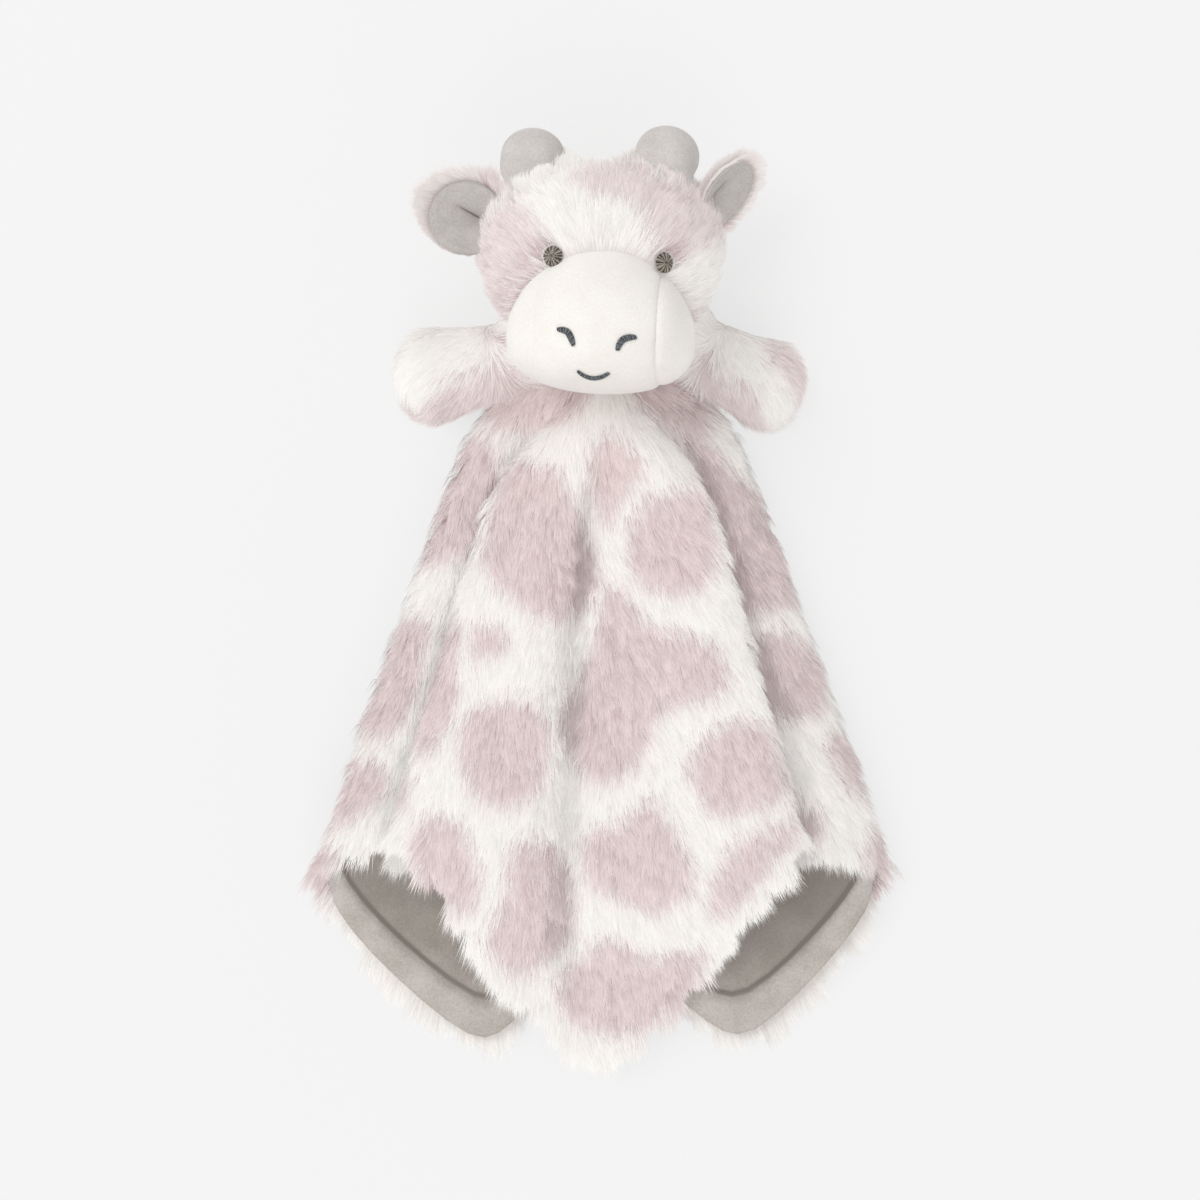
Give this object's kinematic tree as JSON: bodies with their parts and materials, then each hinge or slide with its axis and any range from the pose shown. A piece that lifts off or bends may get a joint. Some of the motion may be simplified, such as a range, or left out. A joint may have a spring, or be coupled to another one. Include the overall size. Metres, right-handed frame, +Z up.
{
  "type": "comfort blanket lovey",
  "caption": "Plush giraffe comfort blanket lying flat: a stuffed head with muzzle, horns and ears and stuffed arms, sewn to a square fur blanket that falls in folds.",
  "frame": {"origin": "on the table, under the centre of the whole toy's bounding box", "axes": "+Z up from the table, +Y from the blanket's front corner towards the horns, +X to the viewer's right as the toy is seen from above"},
  "size_m": [0.2118, 0.3528, 0.0906],
  "materials": {
    "pink_spotted_fur": "long-pile polyester fur, white with dusty pink spots",
    "grey_lining": "short-pile velvety polyester, warm grey",
    "ivory_velboa": "short-pile velboa, ivory",
    "grey_velboa": "short-pile velboa, light warm grey",
    "filling": "polyester fibre filling, white",
    "brown_thread": "satin-stitch embroidery, grey brown",
    "slate_thread": "satin-stitch embroidery, slate grey"
  },
  "bodies": {
    "blanket": {"blanket_fur_panel": "pink_spotted_fur", "blanket_lining": "grey_lining"},
    "head": {"head_cover": "pink_spotted_fur", "head_filling": "filling", "muzzle_front_panel": "ivory_velboa", "muzzle_side_panel_left": "ivory_velboa", "muzzle_side_panel_right": "ivory_velboa", "eye_left": "brown_thread", "eye_right": "brown_thread", "nostril_left": "slate_thread", "nostril_right": "slate_thread", "mouth": "slate_thread", "horn_cover_left": "grey_velboa", "horn_cover_right": "grey_velboa", "horn_filling_left": "filling", "horn_filling_right": "filling"},
    "ear_left": {"ear_front_left": "grey_velboa", "ear_back_left": "pink_spotted_fur"},
    "ear_right": {"ear_front_right": "grey_velboa", "ear_back_right": "pink_spotted_fur"},
    "arm_left": {"arm_cover_left": "pink_spotted_fur", "arm_filling_left": "filling"},
    "arm_right": {"arm_cover_right": "pink_spotted_fur", "arm_filling_right": "filling"}
  },
  "joints": [
    {"name": "head_turn", "type": "hinge", "parent": "blanket", "child": "head", "pos_m": [0, 0.124, 0.0395], "axis": [0, 1, 0], "range_deg": [-20, 20], "stiffness_Nm_per_rad": 0.03},
    {"name": "ear_left_bend", "type": "hinge", "parent": "head", "child": "ear_left", "pos_m": [-0.03652, 0.13864, 0.04077], "axis": [-0.21, -0.975, -0.0723], "range_deg": [-20, 20], "stiffness_Nm_per_rad": 0.004},
    {"name": "ear_right_bend", "type": "hinge", "parent": "head", "child": "ear_right", "pos_m": [0.03547, 0.14062, 0.03888], "axis": [-0.5445, 0.3746, 0.7504], "range_deg": [-20, 20], "stiffness_Nm_per_rad": 0.004},
    {"name": "arm_left_swing", "type": "hinge", "parent": "blanket", "child": "arm_left", "pos_m": [-0.03399, 0.09325, 0.01826], "axis": [0, 0, 1], "range_deg": [-30, 20], "stiffness_Nm_per_rad": 0.01},
    {"name": "arm_right_swing", "type": "hinge", "parent": "blanket", "child": "arm_right", "pos_m": [0.03589, 0.09592, 0.01708], "axis": [0, 0, 1], "range_deg": [-20, 30], "stiffness_Nm_per_rad": 0.01}
  ]
}
